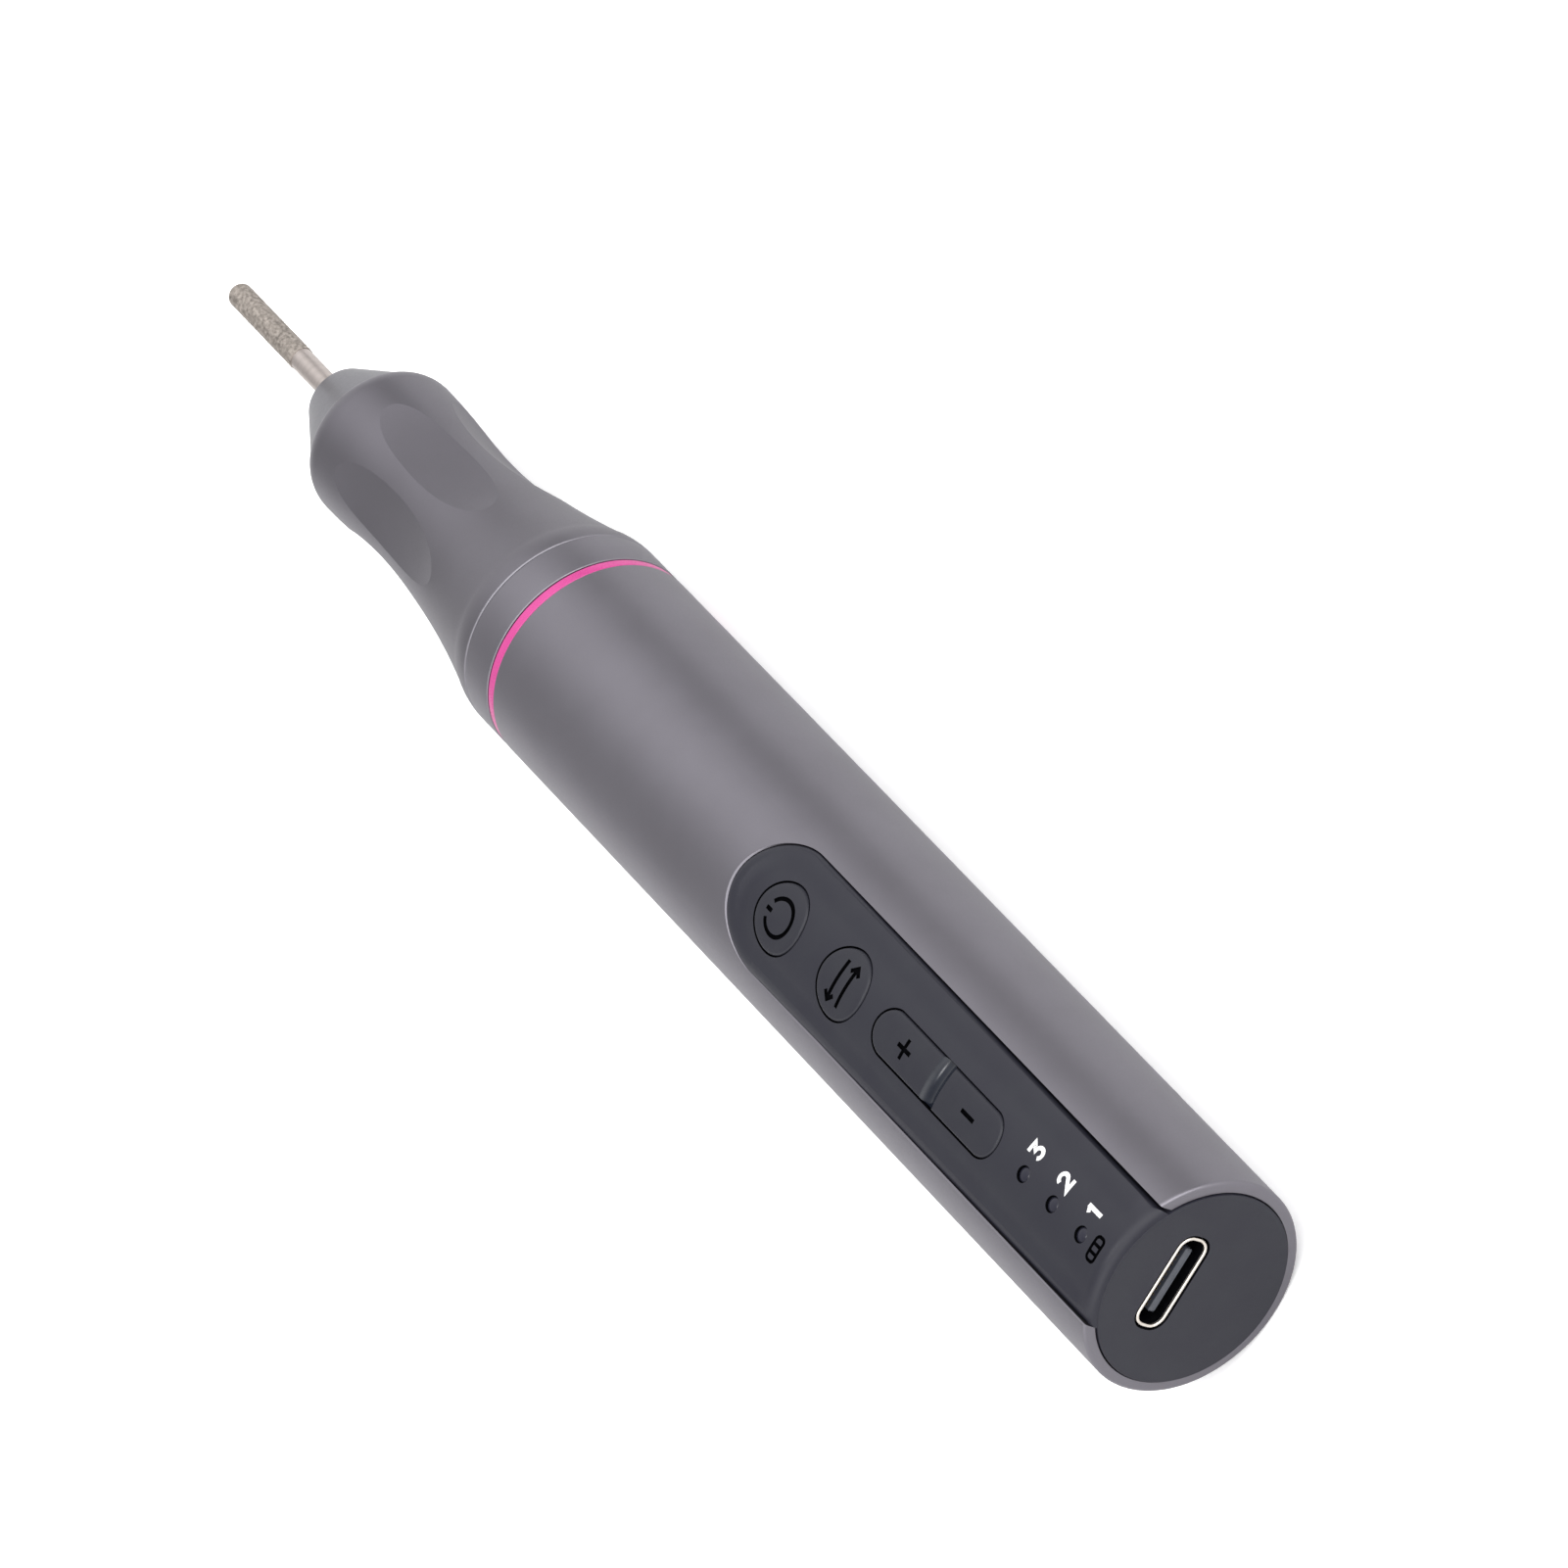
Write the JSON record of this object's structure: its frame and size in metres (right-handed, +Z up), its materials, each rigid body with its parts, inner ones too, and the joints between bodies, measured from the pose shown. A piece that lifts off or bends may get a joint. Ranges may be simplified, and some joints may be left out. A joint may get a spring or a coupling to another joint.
{
  "type": "cordless engraving pen",
  "caption": "Cordless engraving pen: round slotted body with a button panel and tail charging port, waisted grip with finger scallops, screw-off nose and spinning diamond burr.",
  "frame": {"origin": "centre of the bounding box's bottom: the pen lies on its side, so this is on the surface it lies on, under the middle of its length and under its axis", "axes": "+X along the spindle from the tail to the burr, +Z up, out of the middle of the control panel, +Y to the left when looking from the tail towards the burr"},
  "size_m": [0.163, 0.0204, 0.0204],
  "materials": {
    "anodised_aluminium": "satin anodised grey",
    "nose_aluminium": "satin anodised light grey",
    "accent_pink": "glossy anodised pink",
    "panel_plastic": "matt dark grey",
    "key_plastic": "matt dark grey",
    "black_plastic": "black",
    "white_plastic": "white",
    "clear_plastic": "clear",
    "cradle_plastic": "matt black",
    "board": "green solder mask",
    "steel": "bright",
    "zinc_plate": "zinc plated",
    "nickel": "nickel strip",
    "diamond_plate": "diamond grit plated over steel",
    "brass": "bright",
    "copper": "wound copper and iron",
    "ferrite": "ferrite",
    "cell_wrap": "heat-shrink wrap over a metal can",
    "damper_rubber": "foam",
    "lead_red": "insulated wire",
    "lead_black": "insulated wire"
  },
  "bodies": {
    "housing": {"body_tube": "anodised_aluminium", "control_panel": "panel_plastic", "socket_shell": "steel", "socket_tongue": "black_plastic", "rocker_pin": "steel", "light_pipe": "clear_plastic", "indicator_led_1": "white_plastic", "indicator_led_2": "white_plastic", "indicator_led_3": "white_plastic", "control_board": "board", "board_screw": "steel", "direction_switch": "zinc_plate", "power_switch": "zinc_plate", "slower_switch": "zinc_plate", "faster_switch": "zinc_plate", "charge_chip": "black_plastic", "controller_chip": "black_plastic", "battery_cell": "cell_wrap", "battery_tab_rear": "nickel", "battery_tab_front": "nickel", "battery_cradle": "cradle_plastic", "motor_can": "zinc_plate", "motor_end_bell": "white_plastic", "motor_magnet_upper": "ferrite", "motor_magnet_lower": "ferrite", "motor_damper": "damper_rubber", "motor_terminal_left": "brass", "motor_terminal_right": "brass", "motor_lead_red": "lead_red", "motor_lead_black": "lead_black", "accent_ring": "accent_pink", "coupling_collar": "anodised_aluminium", "grip_sleeve": "anodised_aluminium", "rear_bearing_outer_race": "steel", "front_bearing_outer_race": "steel", "bearing_washer": "steel", "bearing_retainer": "zinc_plate"},
    "spindle": {"spindle_shaft": "steel", "rear_bearing_inner_race": "steel", "front_bearing_inner_race": "steel", "drive_coupling": "brass", "rear_set_screw": "steel", "front_set_screw": "steel", "motor_shaft": "steel", "motor_armature": "copper", "motor_commutator": "copper", "collet": "brass", "collet_nut": "zinc_plate"},
    "burr": {"diamond_burr": "diamond_plate"},
    "nose": {"nose_cone": "nose_aluminium"},
    "power_button": {"power_key": "key_plastic"},
    "direction_button": {"direction_key": "key_plastic"},
    "speed_button": {"speed_rocker": "key_plastic"}
  },
  "joints": [
    {"name": "spindle_spin", "type": "hinge", "parent": "housing", "child": "spindle", "pos_m": [0.01645, 0, 0.01022], "axis": [1, 0, 0], "continuous": true},
    {"name": "burr_pull", "type": "slide", "parent": "spindle", "child": "burr", "axis": [1, 0, 0], "range_m": [0, 0.025]},
    {"name": "nose_cone_off", "type": "slide", "parent": "housing", "child": "nose", "axis": [1, 0, 0], "range_m": [0, 0.032]},
    {"name": "power_key_press", "type": "slide", "parent": "housing", "child": "power_button", "axis": [0, 0, -1], "range_m": [0, 0.0003], "stiffness_N_per_m": 1500, "springref_m": -0.0004},
    {"name": "direction_key_press", "type": "slide", "parent": "housing", "child": "direction_button", "axis": [0, 0, -1], "range_m": [0, 0.0003], "stiffness_N_per_m": 1500, "springref_m": -0.0004},
    {"name": "speed_rocker_tilt", "type": "hinge", "parent": "housing", "child": "speed_button", "pos_m": [-0.05395, 0, 0.01662], "axis": [0, 1, 0], "range_deg": [-2, 2], "stiffness_Nm_per_rad": 0.2}
  ]
}
